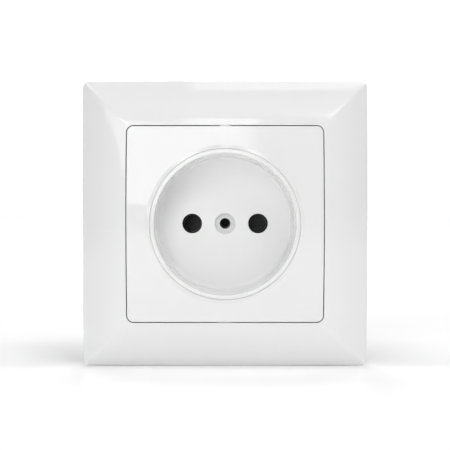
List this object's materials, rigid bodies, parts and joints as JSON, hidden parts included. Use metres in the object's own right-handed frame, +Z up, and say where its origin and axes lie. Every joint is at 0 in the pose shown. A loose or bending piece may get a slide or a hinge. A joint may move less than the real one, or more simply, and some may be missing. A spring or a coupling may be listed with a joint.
{
  "type": "unearthed wall socket",
  "caption": "Square white flush wall socket without earth: mitred cover frame, centre cover with a round plug well and two pin holes, and the strap-mounted mechanism behind.",
  "frame": {"origin": "centre of the cover frame on the wall plane, which is also the centre of the box screws", "axes": "+Y into the wall, the front faces -Y, +Z up, +X to the right seen from the front"},
  "size_m": [0.0816, 0.0363, 0.0816],
  "materials": {
    "white_gloss": "smooth glossy white moulding",
    "zinc_steel": "zinc plated pressed steel",
    "dark_moulding": "dark moulded insulation",
    "bronze_contact": "tinned bronze strip",
    "brass_terminal": "bright machined brass",
    "spring_steel": "blued spring steel",
    "grey_moulding": "grey moulded cover",
    "screw_steel": "zinc plated screws",
    "black_steel": "blackened steel"
  },
  "bodies": {
    "root": {"cover_frame": "white_gloss", "centre_cover": "white_gloss", "support_strap": "zinc_steel", "strap_rivets": "zinc_steel", "socket_base": "dark_moulding", "contact_carrier": "dark_moulding", "carrier_screws": "screw_steel", "cover_nut": "black_steel", "rear_cover": "grey_moulding", "rear_screws": "screw_steel", "contact_left": "bronze_contact", "contact_spring_left": "spring_steel", "terminal_left": "brass_terminal", "terminal_screws_left": "screw_steel", "contact_right": "bronze_contact", "contact_spring_right": "spring_steel", "terminal_right": "brass_terminal", "terminal_screws_right": "screw_steel", "claw_pin_left": "zinc_steel", "claw_pin_right": "zinc_steel"},
    "claw_left": {"claw_left": "spring_steel"},
    "claw_right": {"claw_right": "spring_steel"},
    "claw_screw_left": {"claw_screw_left": "screw_steel"},
    "claw_screw_right": {"claw_screw_right": "screw_steel"}
  },
  "joints": [
    {"name": "claw_left_swing", "type": "hinge", "parent": "root", "child": "claw_left", "pos_m": [-0.0272, 0.005, 0], "axis": [0, 0, 1], "range_deg": [0, 20]},
    {"name": "claw_screw_left_travel", "type": "slide", "parent": "root", "child": "claw_screw_left", "axis": [0, 1, 0], "range_m": [0, 0.000992]},
    {"name": "claw_right_swing", "type": "hinge", "parent": "root", "child": "claw_right", "pos_m": [0.0272, 0.005, 0], "axis": [0, 0, -1], "range_deg": [0, 20]},
    {"name": "claw_screw_right_travel", "type": "slide", "parent": "root", "child": "claw_screw_right", "axis": [0, 1, 0], "range_m": [0, 0.000992]}
  ],
  "couplings": [
    {"joint": "claw_screw_left_travel", "follows": "claw_left_swing", "m_per_rad": 0.00284},
    {"joint": "claw_screw_right_travel", "follows": "claw_right_swing", "m_per_rad": 0.00284}
  ]
}
